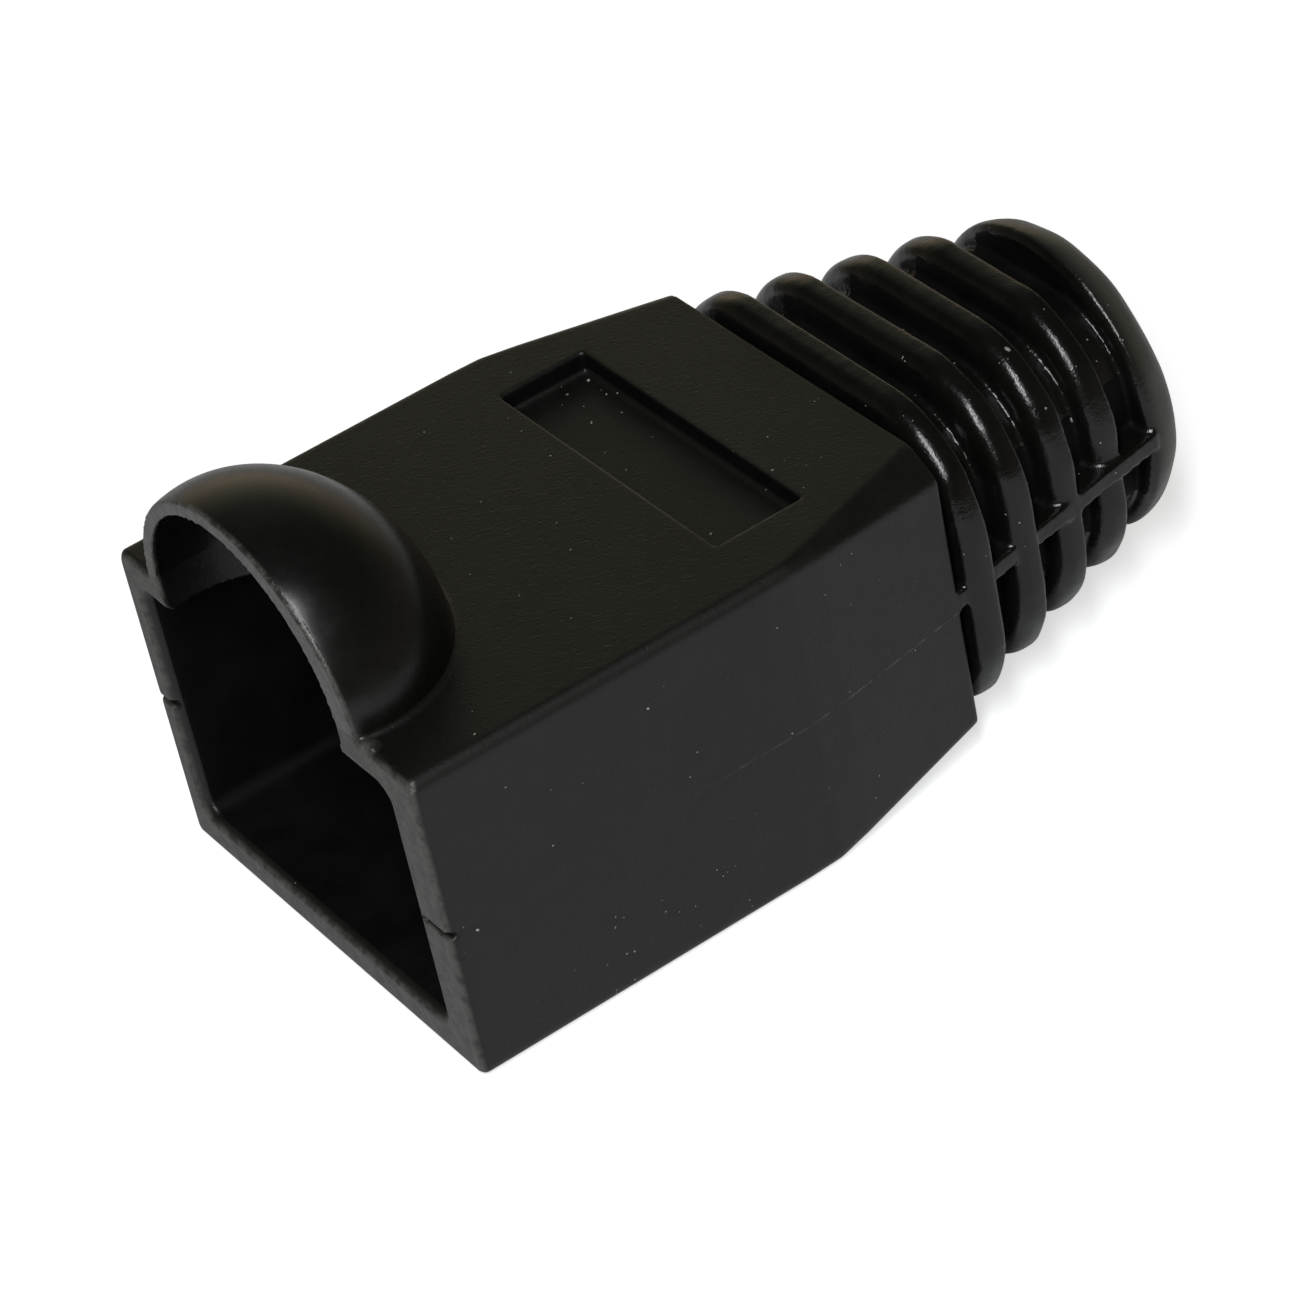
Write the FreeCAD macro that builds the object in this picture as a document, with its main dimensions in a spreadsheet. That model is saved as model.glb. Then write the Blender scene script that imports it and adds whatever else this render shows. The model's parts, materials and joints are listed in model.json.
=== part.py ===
# Strain relief boot for a modular cable plug: one flexible moulding.
# The mouth faces -Y, the ribbed sleeve points along +Y and +Z is up.
# Stations are measured from the mouth; the finished boot is then placed with
# its origin on the base plane, under the middle of its length and width.
import FreeCAD, Part
import math
import os
import Sketcher
from FreeCAD import Placement, Rotation, Vector

# Driving dimensions in millimetres.
SIZES = {
    # box that holds the plug
    "body_width": 14.0,
    "body_height": 9.38,
    "straight_length": 11.2,
    "body_length": 16.4,
    "side_taper": 0.88,
    "base_taper": 0.83,
    "base_edge": 0.35,
    "top_edge": 0.3,
    "top_edge_rear": 1.33,
    "rim_chamfer": 0.12,
    # plug pocket and the funnel behind it
    "left_wall": 0.9,
    "right_wall": 1.45,
    "top_wall": 1.0,
    "base_wall": 1.06,
    "pocket_corner": 0.4,
    "pocket_depth": 11.2,
    "mouth_chamfer": 0.22,
    "funnel_length": 6.2,
    "funnel_ledge": 0.15,
    "funnel_corner": 1.2,
    # bubble-shaped hood over the plug's latch
    "hood_half_width": 5.09,
    "hood_half_height": 4.37,
    "hood_half_length": 3.96,
    "hood_station": 0.98,
    "hood_sink": 0.15,
    "hood_shift": 0.36,
    "hood_side_wall": 0.76,
    "hood_top_wall": 0.5,
    "hood_core_shift": 0.2,
    # shallow recess across the top
    "recess_width": 9.66,
    "recess_start": 10.55,
    "recess_length": 2.65,
    "recess_depth": 0.6,
    # ribbed sleeve
    "sleeve_height": 4.82,
    "first_gap": 0.3,
    "ring_width": 0.86,
    "ring_gap": 0.94,
    "ring_half_width": 6.26,
    "ring_half_height": 4.8,
    "last_half_width": 4.7,
    "last_half_height": 4.4,
    "ring_corner": 3.4,
    "ring_nose": 0.48,
    "groove_depth": 1.0,
    "web_height": 0.6,
    "web_ramp": 0.5,
    "web_inset": 0.12,
    "parting_height": 4.62,
    # round collar and cable bore
    "collar_gap": 1.12,
    "collar_width": 1.36,
    "collar_radius": 4.52,
    "collar_chamfer": 0.2,
    "collar_round": 1.1,
    "bore_diameter": 6.0,
}
RING_COUNT = 4
SHEET = "sizes"


class Size:
    """A length with its number and the sheet expression that drives it."""

    def __init__(self, number, text):
        self.number = number
        self.text = text

    def _join(self, other, sign, number):
        text = other.text if isinstance(other, Size) else repr(other)
        return Size(number, f"({self.text} {sign} {text})")

    def __add__(self, other):
        return self._join(other, "+", self.number + plain(other))

    def __sub__(self, other):
        return self._join(other, "-", self.number - plain(other))

    def __mul__(self, other):
        return self._join(other, "*", self.number * plain(other))

    def __truediv__(self, other):
        return self._join(other, "/", self.number / plain(other))

    def __neg__(self):
        return Size(-self.number, f"(-{self.text})")


def plain(value):
    return value.number if isinstance(value, Size) else value


def size(name):
    return Size(SIZES[name], f"<<{SHEET}>>.{name}")


def nothing():
    return Size(0.0, "0")


def make_sheet(document):
    sheet = document.addObject("Spreadsheet::Sheet", SHEET)
    for row, (name, number) in enumerate(SIZES.items(), start=1):
        sheet.set(f"A{row}", name)
        sheet.set(f"B{row}", str(number))
        sheet.setAlias(f"B{row}", name)
    document.recompute()
    return sheet


def new_sketch(body, name, plane, offset):
    # XZ_Plane looks along -Y, so its offset is the negative of the station.
    sketch = body.newObject("Sketcher::SketchObject", name)
    planes = [item for item in body.Origin.OriginFeatures if item.Role == plane]
    sketch.AttachmentSupport = [(planes[0], "")]
    sketch.MapMode = "FlatFace"
    sketch.setExpression(".AttachmentOffset.Base.z", offset.text)
    return sketch


def dimension(sketch, name, kind, target, length):
    index = sketch.addConstraint(Sketcher.Constraint(kind, *target, length.number))
    sketch.renameConstraint(index, name)
    sketch.setExpression(f"Constraints.{name}", length.text)


def segment(sketch, start, end):
    first = Vector(plain(start[0]), plain(start[1]), 0)
    last = Vector(plain(end[0]), plain(end[1]), 0)
    return sketch.addGeometry(Part.LineSegment(first, last), False)


def corner_arc(sketch, centre, radius, start_degrees):
    middle = Vector(plain(centre[0]), plain(centre[1]), 0)
    circle = Part.Circle(middle, Vector(0, 0, 1), plain(radius))
    start = math.radians(start_degrees)
    end = start + math.pi / 2
    return sketch.addGeometry(Part.ArcOfCircle(circle, start, end), False)


def close_rectangle(sketch, bottom, right, top, left):
    chain = [bottom, right, top, left]
    for here, there in zip(chain, chain[1:] + chain[:1]):
        sketch.addConstraint(Sketcher.Constraint("Coincident", here, 2, there, 1))
    for level in (bottom, top):
        sketch.addConstraint(Sketcher.Constraint("Horizontal", level))
    for upright in (right, left):
        sketch.addConstraint(Sketcher.Constraint("Vertical", upright))


class Outline:
    """A rounded rectangle across the boot: its four sides and two pairs of corners."""

    def __init__(self, left, right, low, high, low_corner, high_corner):
        self.left = left
        self.right = right
        self.low = low
        self.high = high
        self.low_corner = low_corner
        self.high_corner = high_corner

    def grown(self, margin):
        return Outline(
            self.left - margin, self.right + margin, self.low - margin, self.high + margin,
            self.low_corner + margin, self.high_corner + margin,
        )


def section(body, name, station, outline):
    sketch = new_sketch(body, name, "XZ_Plane", -station)
    left, right, low, high = outline.left, outline.right, outline.low, outline.high
    under, over = outline.low_corner, outline.high_corner
    bottom = segment(sketch, (left + under, low), (right - under, low))
    right_low = corner_arc(sketch, (right - under, low + under), under, 270)
    right_side = segment(sketch, (right, low + under), (right, high - over))
    right_high = corner_arc(sketch, (right - over, high - over), over, 0)
    top = segment(sketch, (right - over, high), (left + over, high))
    left_high = corner_arc(sketch, (left + over, high - over), over, 90)
    left_side = segment(sketch, (left, high - over), (left, low + under))
    left_low = corner_arc(sketch, (left + under, low + under), under, 180)
    chain = [bottom, right_low, right_side, right_high, top, left_high, left_side, left_low]
    for here, there in zip(chain, chain[1:] + chain[:1]):
        sketch.addConstraint(Sketcher.Constraint("Tangent", here, 2, there, 1))
    sketch.addConstraint(Sketcher.Constraint("Horizontal", bottom))
    sketch.addConstraint(Sketcher.Constraint("Horizontal", top))
    sketch.addConstraint(Sketcher.Constraint("Vertical", left_side))
    sketch.addConstraint(Sketcher.Constraint("Vertical", right_side))
    sketch.addConstraint(Sketcher.Constraint("Equal", right_low, left_low))
    sketch.addConstraint(Sketcher.Constraint("Equal", right_high, left_high))
    dimension(sketch, "low", "DistanceY", (-1, 1, bottom, 1), low)
    dimension(sketch, "high", "DistanceY", (-1, 1, top, 1), high)
    dimension(sketch, "left", "DistanceX", (-1, 1, left_side, 1), left)
    dimension(sketch, "right", "DistanceX", (-1, 1, right_side, 1), right)
    dimension(sketch, "low_corner", "Radius", (left_low,), under)
    dimension(sketch, "high_corner", "Radius", (left_high,), over)
    return sketch


def loft(body, name, kind, sketches):
    feature = body.newObject(kind, name)
    feature.Profile = sketches[0]
    feature.Sections = sketches[1:]
    feature.Ruled = True
    body.Document.recompute()
    return feature


def body_outline():
    half = size("body_width") / 2
    return Outline(
        -half, half, nothing(), size("body_height"), size("base_edge"), size("top_edge"),
    )


def rear_outline():
    half = size("body_width") / 2 - size("side_taper")
    return Outline(
        -half, half, size("base_taper"), size("body_height"),
        size("base_edge"), size("top_edge_rear"),
    )


def add_box(body):
    # A chamfered rim, a straight stretch, and a taper whose top edges grow rounder.
    rim = size("rim_chamfer")
    sections = [
        section(body, "rim_section", nothing(), body_outline().grown(-rim)),
        section(body, "mouth_section", rim, body_outline()),
        section(body, "bend_section", size("straight_length"), body_outline()),
        section(body, "rear_section", size("body_length"), rear_outline()),
    ]
    loft(body, "box", "PartDesign::AdditiveLoft", sections)


def ring_outline(index):
    # The rings shrink evenly from the box to the last one.
    step = index / (RING_COUNT - 1)
    half_width = size("ring_half_width") * (1 - step) + size("last_half_width") * step
    half_height = size("ring_half_height") * (1 - step) + size("last_half_height") * step
    corner = size("ring_corner")
    axis = size("sleeve_height")
    return Outline(-half_width, half_width, axis - half_height, axis + half_height, corner, corner)


def ring_start(index):
    pitch = size("ring_width") + size("ring_gap")
    return size("body_length") + size("first_gap") + pitch * index


def collar_start():
    return ring_start(RING_COUNT - 1) + size("ring_width") + size("collar_gap")


def collar_end():
    return collar_start() + size("collar_width")


def add_core(body):
    # Floor of the grooves, from inside the box to inside the collar.
    depth = size("groove_depth")
    first = ring_outline(0).grown(-depth)
    last = ring_outline(RING_COUNT - 1).grown(-depth)
    start = section(body, "core_start", size("body_length"), first)
    end = section(body, "core_end", collar_start() + size("collar_chamfer"), last)
    loft(body, "core", "PartDesign::AdditiveLoft", [start, end])


def add_ring(body, index):
    # The front edge is rounded off in two slopes and the rear edge is sharp.
    outline = ring_outline(index)
    start = ring_start(index)
    nose = size("ring_nose")
    shoulder = 1 - math.cos(math.radians(45))
    sections = [
        section(body, f"ring_{index + 1}_front", start, outline.grown(-nose)),
        section(body, f"ring_{index + 1}_slope", start + nose * shoulder, outline.grown(-nose * shoulder)),
        section(body, f"ring_{index + 1}_crest", start + nose, outline),
        section(body, f"ring_{index + 1}_rear", start + size("ring_width"), outline),
    ]
    loft(body, f"ring_{index + 1}", "PartDesign::AdditiveLoft", sections)


def add_webs(body):
    # A thin blade above the parting plane bridges the grooves on both sides.
    # Its top slopes up towards the floor of the grooves.
    low = size("parting_height")
    high = low + size("web_height")
    root = high + size("web_ramp")

    def blade(name, station, half):
        sketch = new_sketch(body, name, "XZ_Plane", -station)
        inner = half - size("groove_depth")
        corners = [
            (-half, low), (half, low), (half, high), (inner, root), (-inner, root), (-half, high),
        ]
        sides = [segment(sketch, here, there) for here, there in zip(corners, corners[1:] + corners[:1])]
        for here, there in zip(sides, sides[1:] + sides[:1]):
            sketch.addConstraint(Sketcher.Constraint("Coincident", here, 2, there, 1))
        for number, (side, corner) in enumerate(zip(sides, corners), start=1):
            dimension(sketch, f"across_{number}", "DistanceX", (-1, 1, side, 1), corner[0])
            dimension(sketch, f"height_{number}", "DistanceY", (-1, 1, side, 1), corner[1])
        return sketch

    start = blade("web_start", size("body_length"), size("ring_half_width") - size("web_inset"))
    end = blade(
        "web_end", collar_start() + size("collar_chamfer"),
        size("last_half_width") - size("web_inset"),
    )
    loft(body, "webs", "PartDesign::AdditiveLoft", [start, end])


def add_collar(body):
    # Round end of the sleeve, turned about the cable's axis.
    sketch = new_sketch(body, "collar_profile", "YZ_Plane", nothing())
    axis = size("sleeve_height")
    start = collar_start()
    end = collar_end()
    chamfer = size("collar_chamfer")
    rear = size("collar_round")
    crest = axis + size("collar_radius")
    front_face = segment(sketch, (start, axis), (start, crest - chamfer))
    front_edge = segment(sketch, (start, crest - chamfer), (start + chamfer, crest))
    rim = segment(sketch, (start + chamfer, crest), (end - rear, crest))
    rear_arc = corner_arc(sketch, (end - rear, crest - rear), rear, 0)
    rear_face = segment(sketch, (end, crest - rear), (end, axis))
    middle = segment(sketch, (end, axis), (start, axis))
    add = sketch.addConstraint
    add(Sketcher.Constraint("Coincident", front_face, 2, front_edge, 1))
    add(Sketcher.Constraint("Coincident", front_edge, 2, rim, 1))
    add(Sketcher.Constraint("Tangent", rim, 2, rear_arc, 2))
    add(Sketcher.Constraint("Tangent", rear_arc, 1, rear_face, 1))
    add(Sketcher.Constraint("Coincident", rear_face, 2, middle, 1))
    add(Sketcher.Constraint("Coincident", middle, 2, front_face, 1))
    add(Sketcher.Constraint("Vertical", front_face))
    add(Sketcher.Constraint("Vertical", rear_face))
    add(Sketcher.Constraint("Horizontal", rim))
    add(Sketcher.Constraint("Horizontal", middle))
    dimension(sketch, "start", "DistanceX", (-1, 1, front_face, 1), start)
    dimension(sketch, "end", "DistanceX", (-1, 1, rear_face, 1), end)
    dimension(sketch, "axis_height", "DistanceY", (-1, 1, middle, 1), axis)
    dimension(sketch, "crest", "DistanceY", (-1, 1, rim, 1), crest)
    dimension(sketch, "chamfer_start", "DistanceY", (-1, 1, front_face, 2), crest - chamfer)
    dimension(sketch, "chamfer_end", "DistanceX", (-1, 1, rim, 1), start + chamfer)
    dimension(sketch, "rear_round", "Radius", (rear_arc,), rear)
    turning = sketch.addGeometry(Part.LineSegment(Vector(0, axis.number, 0), Vector(1, axis.number, 0)), True)
    sketch.addConstraint(Sketcher.Constraint("Horizontal", turning))
    dimension(sketch, "turning_height", "DistanceY", (-1, 1, turning, 1), axis)
    collar = body.newObject("PartDesign::Revolution", "collar")
    collar.Profile = sketch
    collar.ReferenceAxis = (sketch, ["Axis0"])
    collar.Angle = 360
    body.Document.recompute()


def ellipsoid(body, name, kind, shift, half_width, half_height, half_length):
    # The hood's outside and its core are parts of two ellipsoids on the top face.
    feature = body.newObject(kind, name)
    planes = [item for item in body.Origin.OriginFeatures if item.Role == "XY_Plane"]
    feature.AttachmentSupport = [(planes[0], "")]
    feature.MapMode = "FlatFace"
    feature.setExpression(".AttachmentOffset.Base.x", (-shift).text)
    feature.setExpression(".AttachmentOffset.Base.y", size("hood_station").text)
    feature.setExpression(".AttachmentOffset.Base.z", (size("body_height") - size("hood_sink")).text)
    feature.setExpression("Radius1", half_height.text)
    feature.setExpression("Radius2", half_width.text)
    feature.setExpression("Radius3", half_length.text)
    feature.Angle1 = -90
    feature.Angle2 = 90
    feature.Angle3 = 360
    body.Document.recompute()
    return feature


def add_hood(body):
    ellipsoid(
        body, "hood", "PartDesign::AdditiveEllipsoid", size("hood_shift"),
        size("hood_half_width"), size("hood_half_height"), size("hood_half_length"),
    )
    # Everything in front of the mouth is cut away.
    sketch = new_sketch(body, "trim_outline", "XZ_Plane", nothing())
    half = size("hood_half_width") + size("body_width")
    high = size("body_height") + size("hood_half_height")
    corners = [(-half, -high), (half, -high), (half, high), (-half, high)]
    sides = [segment(sketch, here, there) for here, there in zip(corners, corners[1:] + corners[:1])]
    close_rectangle(sketch, *sides)
    dimension(sketch, "low", "DistanceY", (-1, 1, sides[0], 1), -high)
    dimension(sketch, "high", "DistanceY", (-1, 1, sides[2], 1), high)
    dimension(sketch, "left", "DistanceX", (-1, 1, sides[3], 1), -half)
    dimension(sketch, "right", "DistanceX", (-1, 1, sides[1], 1), half)
    trim = body.newObject("PartDesign::Pocket", "trim")
    trim.Profile = sketch
    trim.Reversed = True
    trim.setExpression("Length", size("hood_half_length").text)
    body.Document.recompute()


def cut_hood(body):
    # The core of the mould sits off centre, so the hood's wall is uneven.
    ellipsoid(
        body, "hood_core", "PartDesign::SubtractiveEllipsoid",
        size("hood_shift") + size("hood_core_shift"),
        size("hood_half_width") - size("hood_side_wall"),
        size("hood_half_height") - size("hood_top_wall"),
        size("hood_half_length") - size("hood_top_wall"),
    )


def pocket_outline():
    half = size("body_width") / 2
    corner = size("pocket_corner")
    return Outline(
        size("left_wall") - half, half - size("right_wall"),
        size("base_wall"), size("body_height") - size("top_wall"), corner, corner,
    )


def throat_outline():
    # The funnel ends in a small ledge around the bore.
    reach = size("bore_diameter") / 2 + size("funnel_ledge")
    axis = size("sleeve_height")
    corner = size("funnel_corner")
    return Outline(-reach, reach, axis - reach, axis + reach, corner, corner)


def cut_pocket(body):
    mouth = pocket_outline()
    chamfer = size("mouth_chamfer")
    flared = section(body, "mouth_flare", nothing(), mouth.grown(chamfer))
    inner = section(body, "mouth_inner", chamfer, mouth)
    loft(body, "mouth", "PartDesign::SubtractiveLoft", [flared, inner])
    opening = section(body, "pocket_mouth", nothing(), mouth)
    floor = section(body, "pocket_floor", size("pocket_depth"), mouth)
    loft(body, "pocket", "PartDesign::SubtractiveLoft", [opening, floor])
    funnel_mouth = section(body, "funnel_mouth", size("pocket_depth"), mouth)
    funnel_throat = section(
        body, "funnel_throat", size("pocket_depth") + size("funnel_length"), throat_outline(),
    )
    loft(body, "funnel", "PartDesign::SubtractiveLoft", [funnel_mouth, funnel_throat])


def cut_bore(body):
    sketch = new_sketch(body, "bore_circle", "XZ_Plane", -size("pocket_depth"))
    radius = size("bore_diameter") / 2
    axis = size("sleeve_height")
    circle = Part.Circle(Vector(0, axis.number, 0), Vector(0, 0, 1), radius.number)
    ring = sketch.addGeometry(circle, False)
    sketch.addConstraint(Sketcher.Constraint("PointOnObject", ring, 3, -2))
    dimension(sketch, "axis_height", "DistanceY", (-1, 1, ring, 3), axis)
    dimension(sketch, "radius", "Radius", (ring,), radius)
    bore = body.newObject("PartDesign::Pocket", "bore")
    bore.Profile = sketch
    bore.Reversed = False
    bore.setExpression("Length", (collar_end() - size("pocket_depth")).text)
    body.Document.recompute()


def cut_recess(body):
    sketch = new_sketch(body, "recess_outline", "XY_Plane", size("body_height"))
    half = size("recess_width") / 2
    start = size("recess_start")
    end = start + size("recess_length")
    near = segment(sketch, (-half, start), (half, start))
    right = segment(sketch, (half, start), (half, end))
    far = segment(sketch, (half, end), (-half, end))
    left = segment(sketch, (-half, end), (-half, start))
    close_rectangle(sketch, near, right, far, left)
    dimension(sketch, "start", "DistanceY", (-1, 1, near, 1), start)
    dimension(sketch, "end", "DistanceY", (-1, 1, far, 1), end)
    dimension(sketch, "left", "DistanceX", (-1, 1, left, 1), -half)
    dimension(sketch, "right", "DistanceX", (-1, 1, right, 1), half)
    recess = body.newObject("PartDesign::Pocket", "recess")
    recess.Profile = sketch
    recess.setExpression("Length", size("recess_depth").text)
    body.Document.recompute()


def check_and_write(document, bodies):
    for item in document.Objects:
        if "Invalid" in item.State or "Error" in item.State:
            raise RuntimeError(f"{item.Name} did not build: {item.State}")
    os.makedirs("parts", exist_ok=True)
    for body in bodies:
        shape = body.Shape
        if shape.isNull() or not shape.isValid() or len(shape.Solids) != 1:
            raise RuntimeError(f"{body.Label} is not one valid solid")
        shape.exportStep(f"parts/{body.Label}.step")
        print(body.Label, "volume", round(shape.Volume, 2), "box", shape.BoundBox)


def make_boot(document):
    body = document.addObject("PartDesign::Body", "boot")
    body.Label = "boot"
    add_box(body)
    add_core(body)
    for index in range(RING_COUNT):
        add_ring(body, index)
    add_collar(body)
    add_webs(body)
    add_hood(body)
    cut_pocket(body)
    cut_hood(body)
    cut_bore(body)
    cut_recess(body)
    body.Placement = Placement(Vector(0, 0, 0), Rotation())
    body.setExpression(".Placement.Base.y", (-collar_end() / 2).text)
    return body


def main():
    document = FreeCAD.newDocument("strain_relief_boot")
    make_sheet(document)
    boot = make_boot(document)
    document.recompute()
    check_and_write(document, [boot])


main()
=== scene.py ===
import json
import math
import random

import bmesh
import bpy
from mathutils import Matrix, Vector, noise
from mathutils.bvhtree import BVHTree

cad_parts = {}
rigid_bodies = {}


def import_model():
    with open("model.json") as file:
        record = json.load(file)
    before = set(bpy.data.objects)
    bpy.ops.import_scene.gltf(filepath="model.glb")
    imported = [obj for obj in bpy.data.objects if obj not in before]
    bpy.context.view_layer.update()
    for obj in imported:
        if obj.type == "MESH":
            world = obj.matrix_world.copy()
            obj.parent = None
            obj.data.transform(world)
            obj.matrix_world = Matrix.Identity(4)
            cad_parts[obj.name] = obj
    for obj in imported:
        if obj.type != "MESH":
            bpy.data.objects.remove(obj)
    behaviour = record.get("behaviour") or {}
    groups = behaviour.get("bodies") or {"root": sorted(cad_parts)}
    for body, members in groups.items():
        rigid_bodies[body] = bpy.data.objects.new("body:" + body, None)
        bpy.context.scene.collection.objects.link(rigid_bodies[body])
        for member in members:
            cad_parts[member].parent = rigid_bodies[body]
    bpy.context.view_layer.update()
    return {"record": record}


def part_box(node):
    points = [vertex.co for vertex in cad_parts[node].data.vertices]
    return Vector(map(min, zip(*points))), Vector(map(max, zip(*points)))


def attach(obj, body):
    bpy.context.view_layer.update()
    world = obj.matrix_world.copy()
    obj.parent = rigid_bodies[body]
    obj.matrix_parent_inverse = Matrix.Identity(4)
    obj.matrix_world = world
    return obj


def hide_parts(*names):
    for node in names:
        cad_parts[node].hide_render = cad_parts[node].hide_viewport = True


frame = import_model()
scene = bpy.context.scene

# Shapes are drawn in millimetres: x across, y along the cable from the mouth, z up from the base.
mm = 0.001
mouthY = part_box("boot")[0][1]
boreMount = next(m for m in frame["record"]["mounts"] if m["name"] == "cable_bore")
cableHeight = boreMount["pos_m"][2] / mm
cableRadius = boreMount["dims"]["r_mm"]


view = {
    "azimuth": 62.19, "elevation": 36.65, "roll": -12.39,  # degrees
    "place": (0.09208, -0.05060, 0.08093),
    "lens": 138.6, "sensorWidth": 36, "clip": (0.005, 20),
}


def directionTo(azimuth, elevation):
    # azimuth goes round from the front, elevation up from the floor, both in degrees
    turn, rise = math.radians(azimuth), math.radians(elevation)
    return Vector((math.sin(turn) * math.cos(rise), -math.cos(turn) * math.cos(rise), math.sin(rise)))


def makeCamera():
    back = directionTo(view["azimuth"], view["elevation"])
    turn = back.to_track_quat("Z", "Y").to_matrix() @ Matrix.Rotation(math.radians(view["roll"]), 3, "Z")
    data = bpy.data.cameras.new("studioCamera")
    data.lens, data.sensor_width = view["lens"], view["sensorWidth"]
    data.clip_start, data.clip_end = view["clip"]
    camera = bpy.data.objects.new("studioCamera", data)
    camera.matrix_world = Matrix.Translation(view["place"]) @ turn.to_4x4()
    scene.collection.objects.link(camera)
    scene.camera = camera


makeCamera()
print("camera placed")


detail = {
    "cornerSegments": 24, "softSegments": 8, "turnSegments": 128,
    "voxel": 0.075, "softenFactor": 0.5, "softenTimes": 2, "triangles": 185000,
    "weld": 0.0005, "evenWeight": 90,
}


def newObject(name, bm):
    bmesh.ops.remove_doubles(bm, verts=bm.verts, dist=detail["weld"])
    bmesh.ops.recalc_face_normals(bm, faces=bm.faces)
    mesh = bpy.data.meshes.new(name)
    bm.to_mesh(mesh)
    bm.free()
    thing = bpy.data.objects.new(name, mesh)
    scene.collection.objects.link(thing)
    return thing


def bevelCorners(bm, corners, radius, segments):
    bmesh.ops.bevel(
        bm, geom=corners, offset=radius, offset_type="OFFSET", segments=segments, profile=0.5,
        affect="VERTICES", material=-1, clamp_overlap=False,
    )


def roundedOutline(bm, station, box, lowCorner, highCorner, grow):
    # box is left, right, low and high
    left, right, low, high = box[0] - grow, box[1] + grow, box[2] - grow, box[3] + grow
    if isinstance(highCorner, tuple):  # cut flat, so far across and down, and only then softened
        across, down, soft = highCorner
        segments = detail["softSegments"]
        top = [(right, high - down), (right - across, high), (left + across, high), (left, high - down)]
    else:
        soft = highCorner + grow
        segments = detail["cornerSegments"]
        top = [(right, high), (left, high)]
    corners = [bm.verts.new((x, station, z)) for x, z in [(left, low), (right, low)] + top]
    bm.faces.new(corners)
    bevelCorners(bm, corners[:2], lowCorner + grow, detail["cornerSegments"])
    bevelCorners(bm, corners[2:], soft, segments)


def edgesSince(bm, older):
    return [edge for edge in bm.edges if edge not in older]


def loft(name, sections):
    bm = bmesh.new()
    loops = []
    for section in sections:
        older = set(bm.edges)
        roundedOutline(bm, *section)
        loops.append(edgesSince(bm, older))
    outlines = sorted(bm.faces, key=lambda face: face.calc_center_median().y)
    for here, there in zip(loops, loops[1:]):
        bmesh.ops.bridge_loops(bm, edges=here + there)
    bmesh.ops.delete(bm, geom=outlines[1:-1], context="FACES_ONLY")  # only the two ends stay closed
    return newObject(name, bm)


def makeBlock(name, size, centre):
    bm = bmesh.new()
    bmesh.ops.create_cube(bm, size=1.0)
    bmesh.ops.scale(bm, vec=size, verts=bm.verts)
    bmesh.ops.translate(bm, vec=centre, verts=bm.verts)
    return newObject(name, bm)


shell = {
    "width": 14.0, "height": 9.38, "straight": 11.2, "length": 16.4,
    "sideTaper": 0.88, "baseTaper": 0.83, "bendLength": 1.0,
    "baseEdge": 0.35, "rim": 0.12,
    "topEdge": (0.2, 0.2, 0.12), "topEdgeRear": (1.0, 0.62, 0.16),  # across, down, softened by
    "partingHeight": 4.62,  # where the two halves of the mould met
}


def makeShell():
    half, high = shell["width"] / 2, shell["height"]
    straight, bend, rim = shell["straight"], shell["bendLength"], shell["rim"]
    front, rear = shell["topEdge"], shell["topEdgeRear"]
    narrow = half - shell["sideTaper"]
    along = bend / (shell["length"] - straight)
    sag = shell["sideTaper"] * along / 4  # the sides turn in gently, the base turns up sharply
    rise = shell["baseTaper"] * along
    bent = tuple(a + (b - a) * along for a, b in zip(front, rear))
    sections = [
        (0.0, (-half, half, 0.0, high), front, -rim),
        (rim, (-half, half, 0.0, high), front, 0.0),
        (straight - bend, (-half, half, 0.0, high), front, 0.0),
        (straight, (-half + sag, half - sag, 0.0, high), front, 0.0),
        (straight + bend, (-half + 4 * sag, half - 4 * sag, rise, high), bent, 0.0),
        (shell["length"], (-narrow, narrow, shell["baseTaper"], high), rear, 0.0),
    ]
    return loft("bootShell", [(y, box, shell["baseEdge"], edge, grow) for y, box, edge, grow in sections])


sleeve = {
    "rings": 4, "firstGap": 0.3, "ringWidth": 0.86, "ringGap": 0.94,
    "halfWidth": 6.26, "halfHeight": 4.8, "lastHalfWidth": 4.7, "lastHalfHeight": 4.4,
    "corner": 3.4, "nose": 0.52, "noseSteps": 6, "tail": 0.06,
    "groove": 1.0, "coreRoot": 0.3,
}
web = {"height": 0.5, "ramp": 0.08, "inset": 0.12, "root": 0.1}
collar = {"gap": 1.12, "width": 1.36, "radius": 4.52, "edge": 0.2, "round": 1.1, "roundSegments": 10}


def ringBox(index):
    step = index / (sleeve["rings"] - 1)
    across = sleeve["halfWidth"] * (1 - step) + sleeve["lastHalfWidth"] * step
    up = sleeve["halfHeight"] * (1 - step) + sleeve["lastHalfHeight"] * step
    return (-across, across, cableHeight - up, cableHeight + up)


def ringStart(index):
    return shell["length"] + sleeve["firstGap"] + (sleeve["ringWidth"] + sleeve["ringGap"]) * index


def collarStart():
    return ringStart(sleeve["rings"] - 1) + sleeve["ringWidth"] + collar["gap"]


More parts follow.
